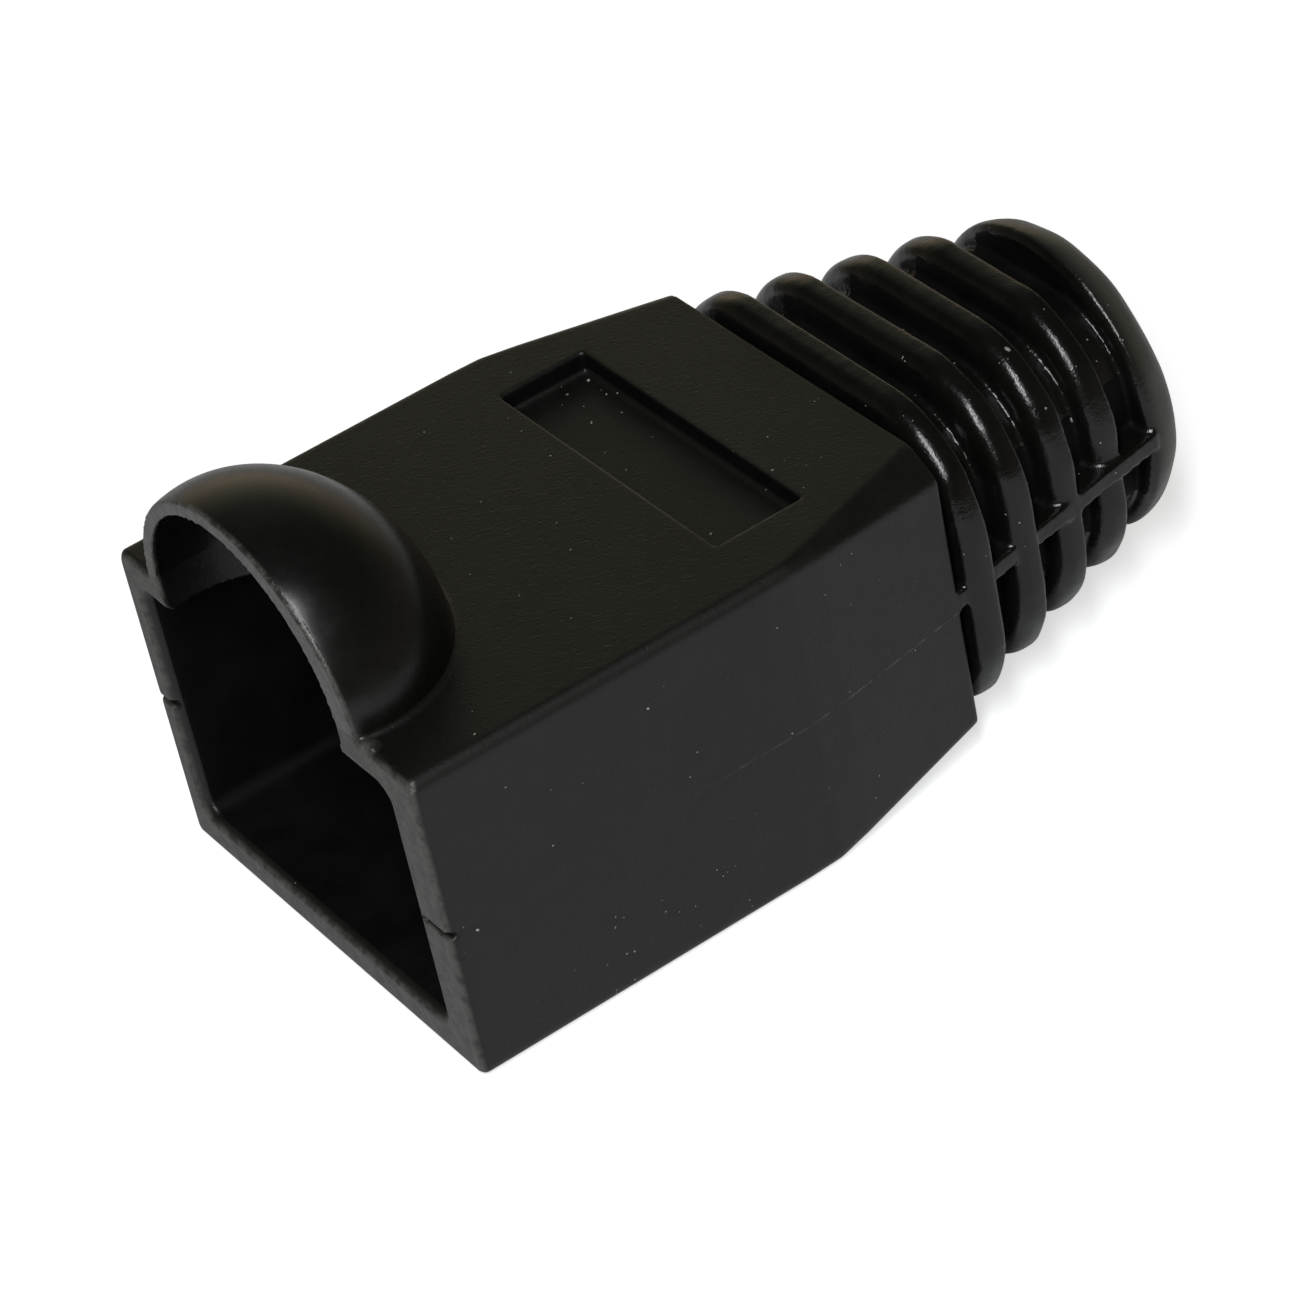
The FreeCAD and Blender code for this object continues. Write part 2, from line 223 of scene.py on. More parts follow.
def makeRing(index):
    # a rounded nose that faces the box, and a sharper tail
    start, box, corner, nose = ringStart(index), ringBox(index), sleeve["corner"], sleeve["nose"]
    end = start + sleeve["ringWidth"]
    sections = []
    for step in range(sleeve["noseSteps"] + 1):
        turn = math.radians(90 * step / sleeve["noseSteps"])
        y, grow = start + nose * (1 - math.cos(turn)), -nose * (1 - math.sin(turn))
        sections.append((y, box, corner, corner, grow))
    sections.append((end - sleeve["tail"], box, corner, corner, 0.0))
    sections.append((end, box, corner, corner, -sleeve["tail"]))
    return loft(f"ring{index + 1}", sections)


def makeCore():
    corner, groove = sleeve["corner"], sleeve["groove"]
    return loft("core", [
        (shell["length"] - sleeve["coreRoot"], ringBox(0), corner, corner, -groove),
        (collarStart() + collar["edge"], ringBox(sleeve["rings"] - 1), corner, corner, -groove),
    ])


def makeWebs():
    bm = bmesh.new()
    low = shell["partingHeight"]
    high = low + web["height"]
    root = high + web["ramp"]
    ends = (
        (shell["length"] - web["root"], sleeve["halfWidth"] - web["inset"]),
        (collarStart() + collar["edge"], sleeve["lastHalfWidth"] - web["inset"]),
    )
    loops = []
    for station, half in ends:
        inner = half - sleeve["groove"]
        spots = [(-half, low), (half, low), (half, high), (inner, root), (-inner, root), (-half, high)]
        older = set(bm.edges)
        bm.faces.new([bm.verts.new((x, station, z)) for x, z in spots])
        loops.append(edgesSince(bm, older))
    bmesh.ops.bridge_loops(bm, edges=loops[0] + loops[1])
    return newObject("webs", bm)


def makeCollar():
    bm = bmesh.new()
    start, edge, crest = collarStart(), collar["edge"], collar["radius"]
    end = start + collar["width"]
    corners = [(start, 0), (start, crest - edge), (start + edge, crest), (end, crest), (end, 0)]
    line = [bm.verts.new((0, y, r)) for y, r in corners]
    for pair in zip(line, line[1:]):
        bm.edges.new(pair)
    bevelCorners(bm, [line[3]], collar["round"], collar["roundSegments"])
    bmesh.ops.spin(
        bm, geom=bm.verts[:] + bm.edges[:], cent=(0, 0, 0), axis=(0, 1, 0),
        angle=math.tau, steps=detail["turnSegments"], use_merge=True,
    )
    bmesh.ops.translate(bm, verts=bm.verts, vec=(0, 0, cableHeight))
    return newObject("collar", bm)


hood = {
    "halfWidth": 5.09, "halfHeight": 4.37, "halfLength": 3.96,
    "station": 0.98, "sink": 0.15, "shift": 0.36,
    "sideWall": 0.66, "topWall": 0.42, "coreShift": 0.2,
    "crumb": (4.95, 0.16, 9.36), "crumbSize": (0.3, 0.16, 0.14),
}


def makeEgg(name, shift, size, trimmed):
    bm = bmesh.new()
    around = detail["turnSegments"]
    bmesh.ops.create_uvsphere(bm, u_segments=around, v_segments=around // 2, radius=1.0)
    bmesh.ops.scale(bm, vec=size, verts=bm.verts)
    bmesh.ops.translate(bm, vec=(-shift, hood["station"], shell["height"] - hood["sink"]), verts=bm.verts)
    if trimmed:  # flush with the mouth
        cut = bmesh.ops.bisect_plane(
            bm, geom=bm.verts[:] + bm.edges[:] + bm.faces[:], plane_co=(0, 0, 0), plane_no=(0, -1, 0),
            clear_outer=True,
        )
        rim = [part for part in cut["geom_cut"] if isinstance(part, bmesh.types.BMEdge)]
        bmesh.ops.holes_fill(bm, edges=rim)
    return newObject(name, bm)


def makeHood():
    size = (hood["halfWidth"], hood["halfLength"], hood["halfHeight"])
    return makeEgg("hoodShape", hood["shift"], size, True)


def makeHoodCore():
    size = (
        hood["halfWidth"] - hood["sideWall"], hood["halfLength"] - hood["topWall"],
        hood["halfHeight"] - hood["topWall"],
    )
    return makeEgg("hoodCore", hood["shift"] + hood["coreShift"], size, False)


def makeCrumb():
    # a crumb of flash at the hood's foot
    bm = bmesh.new()
    bmesh.ops.create_icosphere(bm, subdivisions=3, radius=1.0)
    bmesh.ops.scale(bm, vec=hood["crumbSize"], verts=bm.verts)
    bmesh.ops.translate(bm, vec=hood["crumb"], verts=bm.verts)
    return newObject("crumb", bm)


pocket = {
    "leftWall": 0.9, "rightWall": 1.45, "topWall": 1.0, "baseWall": 1.06, "corner": 0.4,
    "depth": 11.2, "flare": 0.22, "funnel": 6.2, "ledge": 0.15, "funnelCorner": 1.2,
    "mouthOvershoot": 0.5, "boreOvershoot": 1.0,
}


def makePocket():
    half, corner = shell["width"] / 2, pocket["corner"]
    depth, over = pocket["depth"], pocket["mouthOvershoot"]
    mouth = (
        pocket["leftWall"] - half, half - pocket["rightWall"],
        pocket["baseWall"], shell["height"] - pocket["topWall"],
    )
    reach = cableRadius + pocket["ledge"]
    throat = (-reach, reach, cableHeight - reach, cableHeight + reach)
    return loft("hollow", [
        (-over, mouth, corner, corner, pocket["flare"] + over),
        (pocket["flare"], mouth, corner, corner, 0.0),
        (depth, mouth, corner, corner, 0.0),
        (depth + pocket["funnel"], throat, pocket["funnelCorner"], pocket["funnelCorner"], 0.0),
    ])


def makeBore():
    bm = bmesh.new()
    start, end = pocket["depth"], collarStart() + collar["width"]
    middle = (0, (end + start + pocket["boreOvershoot"]) / 2, cableHeight)
    bmesh.ops.create_cone(
        bm, cap_ends=True, segments=detail["turnSegments"], radius1=cableRadius, radius2=cableRadius,
        depth=end - start + pocket["boreOvershoot"],
        matrix=Matrix.Translation(middle) @ Matrix.Rotation(math.pi / 2, 4, "X"),
    )
    return newObject("bore", bm)


panel = {"width": 9.66, "start": 10.55, "length": 2.65, "depth": 0.6}  # the bare recess across the top


def makePanelCutter():
    size = (panel["width"], panel["length"], panel["depth"] * 2)
    return makeBlock("panelCutter", size, (0, panel["start"] + panel["length"] / 2, shell["height"]))


nick = {"length": 2.0, "depth": 0.26, "width": 0.2, "inset": 0.2}  # the parting line's two nicks in the rim


def makeNick(side):
    size = (nick["length"], nick["depth"] * 2, nick["width"])
    centre = (side * (shell["width"] / 2 - nick["inset"]), 0, shell["partingHeight"])
    return makeBlock(f"nick{side}", size, centre)


def collect(name, things):
    group = bpy.data.collections.new(name)
    for thing in things:
        scene.collection.objects.unlink(thing)
        group.objects.link(thing)
    scene.collection.children.link(group)
    return group


def applyModifiers(thing):
    graph = bpy.context.evaluated_depsgraph_get()
    mesh = bpy.data.meshes.new_from_object(thing.evaluated_get(graph))
    thing.modifiers.clear()
    thing.data = mesh
    return len(mesh.polygons)


def makeBoot():
    solids = [makeCore(), makeWebs(), makeCollar()]
    solids += [makeRing(index) for index in range(sleeve["rings"])]
    solids += [makeCrumb(), makeHood()]
    boot = makeShell()
    added = collect("added", solids)
    cutters = [makePocket(), makeBore(), makeHoodCore(), makePanelCutter(), makeNick(-1), makeNick(1)]
    cut = collect("cut", cutters)
    for name, group, kind in (("join", added, "UNION"), ("hollowOut", cut, "DIFFERENCE")):
        step = boot.modifiers.new(name, "BOOLEAN")
        step.operation = kind
        step.operand_type = "COLLECTION"
        step.collection = group
        step.solver = "EXACT"
    remesh = boot.modifiers.new("skin", "REMESH")
    remesh.mode = "VOXEL"
    remesh.voxel_size = detail["voxel"]
    remesh.use_smooth_shade = True
    soften = boot.modifiers.new("soften", "SMOOTH")
    soften.factor = detail["softenFactor"]
    soften.iterations = detail["softenTimes"]
    dense = applyModifiers(boot)
    print("dense skin", dense, "faces")
    thin = boot.modifiers.new("thin", "DECIMATE")
    thin.ratio = min(1.0, detail["triangles"] / (2 * dense))  # the dense skin is all quads
    print("boot skin", applyModifiers(boot), "faces")
    for group in (added, cut):
        for thing in list(group.objects):
            bpy.data.objects.remove(thing)
        bpy.data.collections.remove(group)
    boot.data.transform(Matrix.Translation((0, mouthY, 0)) @ Matrix.Scale(mm, 4))
    boot.data.name = "bootShell"
    return boot


wobble = {"height": 0.045, "scale": 0.9, "start": 0.1, "fadeIn": 0.3, "boreSkin": 0.2}


def unevenSleeve(thing):
    # the soft rings come out of the mould a little wavy
    bm = bmesh.new()
    bm.from_mesh(thing.data)
    for vertex in bm.verts:
        y = (vertex.co.y - mouthY) / mm
        share = min(1.0, max(0.0, (y - shell["length"] - wobble["start"]) / wobble["fadeIn"]))
        amount = wobble["height"] * mm * share
        fromCable = math.hypot(vertex.co.x / mm, vertex.co.z / mm - cableHeight)
        if amount > 0 and fromCable > cableRadius + wobble["boreSkin"]:
            vertex.co += vertex.normal * (amount * noise.noise(vertex.co / mm * wobble["scale"]))
    bm.to_mesh(thing.data)
    bm.free()


boot = makeBoot()
unevenSleeve(boot)
print("sleeve made uneven")


vinyl = {
    "colour": (0.0040, 0.0042, 0.0036), "faded": (0.0072, 0.0076, 0.0066), "fadedShare": 0.5,
    "collarColour": (0.055, 0.056, 0.047), "paleScuffAndHighlight": (0.11, 0.11, 0.102), "nickShadeColour": (0.001, 0.001, 0.001),
    "boxRoughness": 0.40, "hoodRoughness": 0.26, "sleeveRoughness": 0.2, "collarRoughness": 0.12,
    "edgeRoughness": 0.25, "wornRoughness": 0.1, "glossSpread": (-0.03, 0.05), "ior": 1.5,
    # where one finish turns into the next: two distances past the place, or times the hood's size
    "sleeveBorder": (0.02, 0.08), "collarBorder": (0.15, 0.6), "rimBorder": (0.14, 0.03),
    "hoodBorder": (1.05, 1.02), "hoodFoot": (0.03, 0.12),
    "topEdgeSide": (-0.32, -0.08), "topEdgeTop": (-0.32, -0.1),
    # noise: scale, detail, roughness, and for a mask the two levels that become 0 and 1
    "fading": (0.35, 3, 0.55, 0.35, 0.7), "blotches": (2.6, 4, 0.65, 0.45, 0.75),
    "broken": (2.4, 5, 0.72, 0.44, 0.62), "unevenGloss": (1.6, 4, 0.6, 0.3, 0.7),
    "grain": (11, 3, 0.6), "waves": (1.1, 2, 0.55), "sparkle": (15, 2, 0.55),
    "scratches": (1.0, 3, 0.55, 0.56, 0.74), "scratchTurn": -1.08, "scratchStretch": (2.2, 8.0, 8.0),
    "pitScale": 4.5, "pitSize": 0.25,
    # relief in millimetres
    "grainDepth": 0.0075, "pitDepth": 0.006, "waveDepth": 0.035, "sparkleDepth": 0.008,
    "scratchDepth": 0.0035, "lineHeight": 0.02, "nickDepth": 0.08, "rimHeight": 0.012,
}
wearAndPaintedLight = {
    "rim": 0.8, "rimLeast": 0.35,
    "line": 0.9, "lineWidth": 0.05, "lineStart": (6.5, 14.0), "nickShade": 0.9,
    "frontEdge": 0.5, "nearEdge": 0.42, "edgeOut": 0.02, "edgeWidth": 0.09, "edgeTop": (-0.12, -0.05),
    "frontReach": 1.02, "nearReach": 0.52,  # of the panel's half width and of its length
    "crumb": 0.55, "crumbLeast": 0.3, "crumbReach": (0.36, 0.2),
    "cornerGlint": (6.92, 0.08, 9.3), "cornerGlintReach": (0.17, 0.05),  # painted highlight: a pale spot on the near top front corner, where the corner catches the light
    "cornerGlintColour": (0.22, 0.22, 0.19), "cornerGlintShare": 0.75,
    "cornerGlintOutline": (7.0, 2, 0.55, 0.3, 0.7), "cornerGlintRagged": 0.1,
}


def newMaterial(name):
    material = bpy.data.materials.new(name)
    material.use_nodes = True
    tree = material.node_tree
    return material, tree, tree.nodes["Principled BSDF"]


def addNode(tree, kind, inputs=None, **settings):
    node = tree.nodes.new(kind)
    for name, value in settings.items():
        setattr(node, name, value)
    for name, value in (inputs or {}).items():
        if isinstance(value, bpy.types.NodeSocket):
            tree.links.new(value, node.inputs[name])
        else:
            node.inputs[name].default_value = value
    return node


def mathNode(tree, operation, first, second, clamp=False):
    node = addNode(tree, "ShaderNodeMath", {0: first, 1: second}, operation=operation, use_clamp=clamp)
    return node.outputs[0]


def product(tree, first, *others):
    for other in others:
        first = mathNode(tree, "MULTIPLY", first, other)
    return first


def total(tree, first, *others):
    for other in others:
        first = mathNode(tree, "ADD", first, other)
    return first


def mapRange(tree, value, low, high, toLow=0.0, toHigh=1.0):
    return addNode(tree, "ShaderNodeMapRange", {
        "Value": value, "From Min": low, "From Max": high, "To Min": toLow, "To Max": toHigh,
    }).outputs["Result"]


def past(tree, value, place, border):
    # from 0 to 1 as value goes from one distance past the place to the other
    return mapRange(tree, value, place + border[0], place + border[1])


def nearValue(tree, value, centre, width):
    # 1 where value is at centre, or nearly so, and 0 a width away
    away = mathNode(tree, "ABSOLUTE", mathNode(tree, "SUBTRACT", value, centre), 0.0)
    return mapRange(tree, away, width, width * 0.35)


def mixColour(tree, factor, first, second):
    first, second = (
        value if isinstance(value, bpy.types.NodeSocket) else (*value, 1) for value in (first, second)
    )
    return addNode(tree, "ShaderNodeMix", {0: factor, 6: first, 7: second}, data_type="RGBA").outputs[2]


def noiseNode(tree, place, scale, fineness, roughness):
    return addNode(tree, "ShaderNodeTexNoise", {
        "Vector": place, "Scale": scale, "Detail": fineness, "Roughness": roughness,
    }).outputs["Fac"]


def noiseMask(tree, place, pattern, toLow=0.0, toHigh=1.0):
    *kind, low, high = pattern
    return mapRange(tree, noiseNode(tree, place, *kind), low, high, toLow, toHigh)


def mapping(tree, place, **change):
    return addNode(tree, "ShaderNodeMapping", {"Vector": place, **change}).outputs["Vector"]


def distanceFrom(tree, place, spot):
    return addNode(tree, "ShaderNodeVectorMath", {0: place, 1: spot}, operation="DISTANCE").outputs["Value"]


def bumpInto(tree, shader, relief):
    bump = addNode(tree, "ShaderNodeBump", {"Height": relief, "Strength": 1.0, "Distance": mm})
    tree.links.new(bump.outputs["Normal"], shader.inputs["Normal"])


def objectPlace(tree):
    return addNode(tree, "ShaderNodeTexCoord").outputs["Object"]


def alongAxes(tree, place):
    return addNode(tree, "ShaderNodeSeparateXYZ", {"Vector": place}).outputs


def millimetres(tree):
    # Object coordinates in millimetres from the mouth
    return mapping(tree, objectPlace(tree), Location=(0, -mouthY / mm, 0), Scale=(1 / mm,) * 3)


def finishZones(tree, place, axes):
    # grained box, satin hood, shiny sleeve, dull collar, the rim (scuffed, and lit with a painted
    # highlight), and the rubbed edges of the top
    wide, long, high = hood["halfWidth"], hood["halfLength"], hood["halfHeight"]
    egg = mapping(
        tree, place,
        Location=(hood["shift"] / wide, -hood["station"] / long, (hood["sink"] - shell["height"]) / high),
        Scale=(1 / wide, 1 / long, 1 / high),
    )
    reach = addNode(tree, "ShaderNodeVectorMath", {0: egg}, operation="LENGTH").outputs["Value"]
    zone = {
        "sleeve": past(tree, axes["Y"], shell["length"], vinyl["sleeveBorder"]),
        "collar": past(tree, axes["Y"], collarStart(), vinyl["collarBorder"]),
        "rim": mapRange(tree, axes["Y"], *vinyl["rimBorder"]),
        "hood": product(
            tree, mapRange(tree, reach, *vinyl["hoodBorder"]),
            past(tree, axes["Z"], shell["height"], vinyl["hoodFoot"]),
        ),
    }
    zone["box"] = mathNode(tree, "SUBTRACT", 1.0, mathNode(tree, "MAXIMUM", zone["sleeve"], zone["hood"]))
    across = mathNode(tree, "ABSOLUTE", axes["X"], 0.0)
    zone["edge"] = product(
        tree, zone["box"], past(tree, across, shell["width"] / 2, vinyl["topEdgeSide"]),
        past(tree, axes["Z"], shell["height"], vinyl["topEdgeTop"]),
    )
    return zone


def scuffAndHighlightMasks(tree, place, axes, zone):
    # the rim, scuffed and lightened further by a painted highlight; the parting line with its nicks; and
    # painted highlights along two edges of the panel
    broken = noiseMask(tree, place, vinyl["broken"])
    parting = nearValue(tree, axes["Z"], shell["partingHeight"], wearAndPaintedLight["lineWidth"])
    line = product(tree, parting, broken, mapRange(tree, axes["Y"], *wearAndPaintedLight["lineStart"]), zone["box"])
    onTop = past(tree, axes["Z"], shell["height"], wearAndPaintedLight["edgeTop"])
    half, middle = panel["width"] / 2, panel["start"] + panel["length"] / 2
    # painted highlights: pale lines on the top along the panel's front and near edges, where those edges
    # catch the light
    frontEdge = product(
        tree, nearValue(tree, axes["Y"], panel["start"] - wearAndPaintedLight["edgeOut"], wearAndPaintedLight["edgeWidth"]), onTop,
        nearValue(tree, axes["X"], 0.0, half * wearAndPaintedLight["frontReach"]),
    )
    nearEdge = product(
        tree, nearValue(tree, axes["X"], half + wearAndPaintedLight["edgeOut"], wearAndPaintedLight["edgeWidth"]), onTop,
        nearValue(tree, axes["Y"], middle, panel["length"] * wearAndPaintedLight["nearReach"]),
    )
    # the rim's pale is partly real scuff and partly painted highlight
    rimScuffAndHighlight = mathNode(tree, "ADD", broken, wearAndPaintedLight["rimLeast"], clamp=True)
    scuffedAndLit = product(tree, zone["rim"], rimScuffAndHighlight, wearAndPaintedLight["rim"])
    for name, mask in (("line", line), ("frontEdge", frontEdge), ("nearEdge", nearEdge)):
        scuffedAndLit = mathNode(tree, "MAXIMUM", scuffedAndLit, product(tree, mask, wearAndPaintedLight[name]))
    return {"broken": broken, "line": line, "nick": product(tree, parting, zone["rim"]), "scuffedAndLit": scuffedAndLit}


def vinylColour(tree, place, zone, marks):
    clouds = total(tree, noiseMask(tree, place, vinyl["fading"]), noiseMask(tree, place, vinyl["blotches"]))
    colour = mixColour(tree, product(tree, clouds, vinyl["fadedShare"]), vinyl["colour"], vinyl["faded"])
    colour = mixColour(tree, zone["collar"], colour, vinyl["collarColour"])
    # pale scuffs on the rim and the parting line, with painted highlight on the rim and along the panel's
    # front and near edges
    colour = mixColour(tree, marks["scuffedAndLit"], colour, vinyl["paleScuffAndHighlight"])
    crumb = product(
        tree, mapRange(tree, distanceFrom(tree, place, hood["crumb"]), *wearAndPaintedLight["crumbReach"]),
        mathNode(tree, "ADD", marks["broken"], wearAndPaintedLight["crumbLeast"], clamp=True), wearAndPaintedLight["crumb"],
    )
    colour = mixColour(tree, crumb, colour, vinyl["paleScuffAndHighlight"])
    # painted highlight on the near top front corner, with a ragged outline
    ragged = noiseMask(tree, place, wearAndPaintedLight["cornerGlintOutline"], -wearAndPaintedLight["cornerGlintRagged"], wearAndPaintedLight["cornerGlintRagged"])
    cornerGlint = mapRange(tree, total(tree, distanceFrom(tree, place, wearAndPaintedLight["cornerGlint"]), ragged), *wearAndPaintedLight["cornerGlintReach"])
    colour = mixColour(tree, product(tree, cornerGlint, wearAndPaintedLight["cornerGlintShare"]), colour, wearAndPaintedLight["cornerGlintColour"])
    # painted shade: the parting line's nicks in the rim darkened nearly to black
    return mixColour(tree, product(tree, marks["nick"], wearAndPaintedLight["nickShade"]), colour, vinyl["nickShadeColour"])


def vinylRoughness(tree, place, zone, marks):
    rough = total(
        tree,
        product(tree, zone["box"], vinyl["boxRoughness"]),
        product(tree, zone["hood"], vinyl["hoodRoughness"]),
        product(tree, zone["sleeve"], vinyl["sleeveRoughness"]),
        product(tree, zone["collar"], vinyl["collarRoughness"]),
        noiseMask(tree, place, vinyl["unevenGloss"], *vinyl["glossSpread"]),
        product(tree, zone["edge"], vinyl["edgeRoughness"]),
    )
    return mathNode(tree, "ADD", rough, product(tree, marks["scuffedAndLit"], vinyl["wornRoughness"]), clamp=True)


def vinylRelief(tree, place, zone, marks):
    # spark-eroded grain, pits and combed scratches on the box, slow waves and fine sparkle on the sleeve
    turned = mapping(tree, place, Rotation=(0, 0, vinyl["scratchTurn"]))
    combed = mapping(tree, turned, Scale=vinyl["scratchStretch"])
    cells = addNode(tree, "ShaderNodeTexVoronoi", {"Vector": place, "Scale": vinyl["pitScale"]})
    pits = mapRange(tree, cells.outputs["Distance"], 0.0, vinyl["pitSize"])
    return total(
        tree,
        product(tree, noiseNode(tree, place, *vinyl["grain"]), zone["box"], vinyl["grainDepth"]),
        product(tree, pits, zone["box"], vinyl["pitDepth"]),
        product(tree, noiseNode(tree, place, *vinyl["waves"]), zone["sleeve"], vinyl["waveDepth"]),
        product(tree, noiseNode(tree, place, *vinyl["sparkle"]), zone["sleeve"], vinyl["sparkleDepth"]),
        product(tree, noiseMask(tree, combed, vinyl["scratches"]), zone["box"], vinyl["scratchDepth"]),
        product(tree, marks["line"], vinyl["lineHeight"]),
        product(tree, marks["nick"], -vinyl["nickDepth"]),
        product(tree, zone["rim"], marks["broken"], vinyl["rimHeight"]),
    )


def makeVinyl():
    material, tree, shader = newMaterial("blackVinyl")
    place = millimetres(tree)
    axes = alongAxes(tree, place)
    zone = finishZones(tree, place, axes)
    marks = scuffAndHighlightMasks(tree, place, axes, zone)
    tree.links.new(vinylColour(tree, place, zone, marks), shader.inputs["Base Color"])
    tree.links.new(vinylRoughness(tree, place, zone, marks), shader.inputs["Roughness"])
    shader.inputs["IOR"].default_value = vinyl["ior"]
    bumpInto(tree, shader, vinylRelief(tree, place, zone, marks))
    return material


# painted shade: the vinyl of the hollows, darker and less reflective than outside
paintedShadeVinyl = {
    "colour": (0.0014, 0.0015, 0.0015), "paler": (0.0030, 0.0032, 0.0031),
    "clouds": (0.8, 4, 0.6, 0.35, 0.75), "roughness": (0.62, 0.75), "specular": 0.16,
    "drag": (1.0, 3, 0.55), "dragStretch": (4.0, 0.5, 4.0), "dragDepth": 0.02,
}


def makePaintedShadeVinyl():
    # painted shade: a darker, less reflective copy of the vinyl for the pocket, the bore, the grooves and
    # the panel's walls, where shade falls
    material, tree, shader = newMaterial("paintedShadeVinyl")
    place = millimetres(tree)
    cloud = noiseMask(tree, place, paintedShadeVinyl["clouds"])
    colour = mixColour(tree, cloud, paintedShadeVinyl["colour"], paintedShadeVinyl["paler"])
    tree.links.new(colour, shader.inputs["Base Color"])
    tree.links.new(mapRange(tree, cloud, 0.0, 1.0, *paintedShadeVinyl["roughness"]), shader.inputs["Roughness"])
    shader.inputs["Specular IOR Level"].default_value = paintedShadeVinyl["specular"]
    pulled = mapping(tree, place, Scale=paintedShadeVinyl["dragStretch"])
    drag = noiseNode(tree, pulled, *paintedShadeVinyl["drag"])
    bumpInto(tree, shader, product(tree, drag, paintedShadeVinyl["dragDepth"]))
    return material


inside = {
    "start": 0.25, "pocketSlack": 0.04, "boreSlack": 0.08,
    "panelSlack": 0.05, "panelFoot": 0.12, "panelBrim": 0.09, "panelHeights": (8.0, 10.0), "weld": 0.002,
    "grooveSlack": 0.05, "grooveReach": 0.9, "grooveDepth": 0.35,
}


def deepInGroove(point):
    # on the walls and floor of a groove, away from its shiny corners
    if not shell["length"] + inside["grooveSlack"] < point.y < collarStart() + inside["grooveSlack"]:
        return False
    index = (point.y - ringStart(0)) / (sleeve["ringWidth"] + sleeve["ringGap"])
    half, high = ringBox(min(max(index, 0), sleeve["rings"] - 1))[1::2]
    overX = abs(point.x) - half + sleeve["corner"]
    overZ = abs(point.z - cableHeight) - (high - cableHeight) + sleeve["corner"]
    deep = max(overX, overZ) < sleeve["corner"] - inside["grooveDepth"]
    return deep and min(overX, overZ) < inside["grooveReach"]


def inBore(point):
    fromCable = math.hypot(point.x, point.z - cableHeight)
    return fromCable < cableRadius + inside["boreSlack"] and point.y > pocket["depth"]


def within(point, low, high):
    return all(a <= b <= c for a, b, c in zip(low, point, high))


def markPaintedShade(thing):
    # the pocket, the bore, the grooves and the panel's walls take the second material, the painted shade
    half, high = shell["width"] / 2, shell["height"]
    slack, out = inside["pocketSlack"], inside["panelSlack"]
    foot, brim = high - panel["depth"] + inside["panelFoot"], high - inside["panelBrim"]
    pocketLow = (pocket["leftWall"] - half - slack, inside["start"], pocket["baseWall"] - slack)
    pocketHigh = (half - pocket["rightWall"] + slack, shell["length"], high - pocket["topWall"] + slack)
    panelLow = (-panel["width"] / 2 - out, panel["start"] - out)
    panelHigh = (panel["width"] / 2 + out, panel["start"] + panel["length"] + out)
    searchLow, searchHigh = ((*end, z) for end, z in zip((panelLow, panelHigh), inside["panelHeights"]))
    bm = bmesh.new()
    bm.from_mesh(thing.data)
    toMillimetres = Matrix.Scale(1 / mm, 4) @ Matrix.Translation((0, -mouthY, 0))
    bmesh.ops.transform(bm, matrix=toMillimetres, verts=bm.verts)
    for height in (foot, brim):  # an edge along the border, so that it runs straight
        wall = [face for face in bm.faces if within(face.calc_center_median(), searchLow, searchHigh)]
        parts = {part for face in wall for part in [*face.edges, *face.verts]}
        bmesh.ops.bisect_plane(
            bm, geom=wall + list(parts), plane_co=(0, 0, height), plane_no=(0, 0, 1), dist=inside["weld"],
        )
    for face in bm.faces:
        centre = face.calc_center_median()
        onPanelWall = within(centre, (*panelLow, foot), (*panelHigh, brim))
        inPocket = within(centre, pocketLow, pocketHigh)
        face.material_index = int(inPocket or inBore(centre) or onPanelWall or deepInGroove(centre))
    bmesh.ops.triangulate(bm, faces=bm.faces)
    bmesh.ops.transform(bm, matrix=Matrix.Translation((0, mouthY, 0)) @ Matrix.Scale(mm, 4), verts=bm.verts)
    bm.to_mesh(thing.data)
    bm.free()


boot.data.materials.append(makeVinyl())
boot.data.materials.append(makePaintedShadeVinyl())
markPaintedShade(boot)
even = boot.modifiers.new("evenShading", "WEIGHTED_NORMAL")  # the flats stay flat up to their soft edges
even.weight = detail["evenWeight"]
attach(boot, "root")
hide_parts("boot")
print("boot finished")


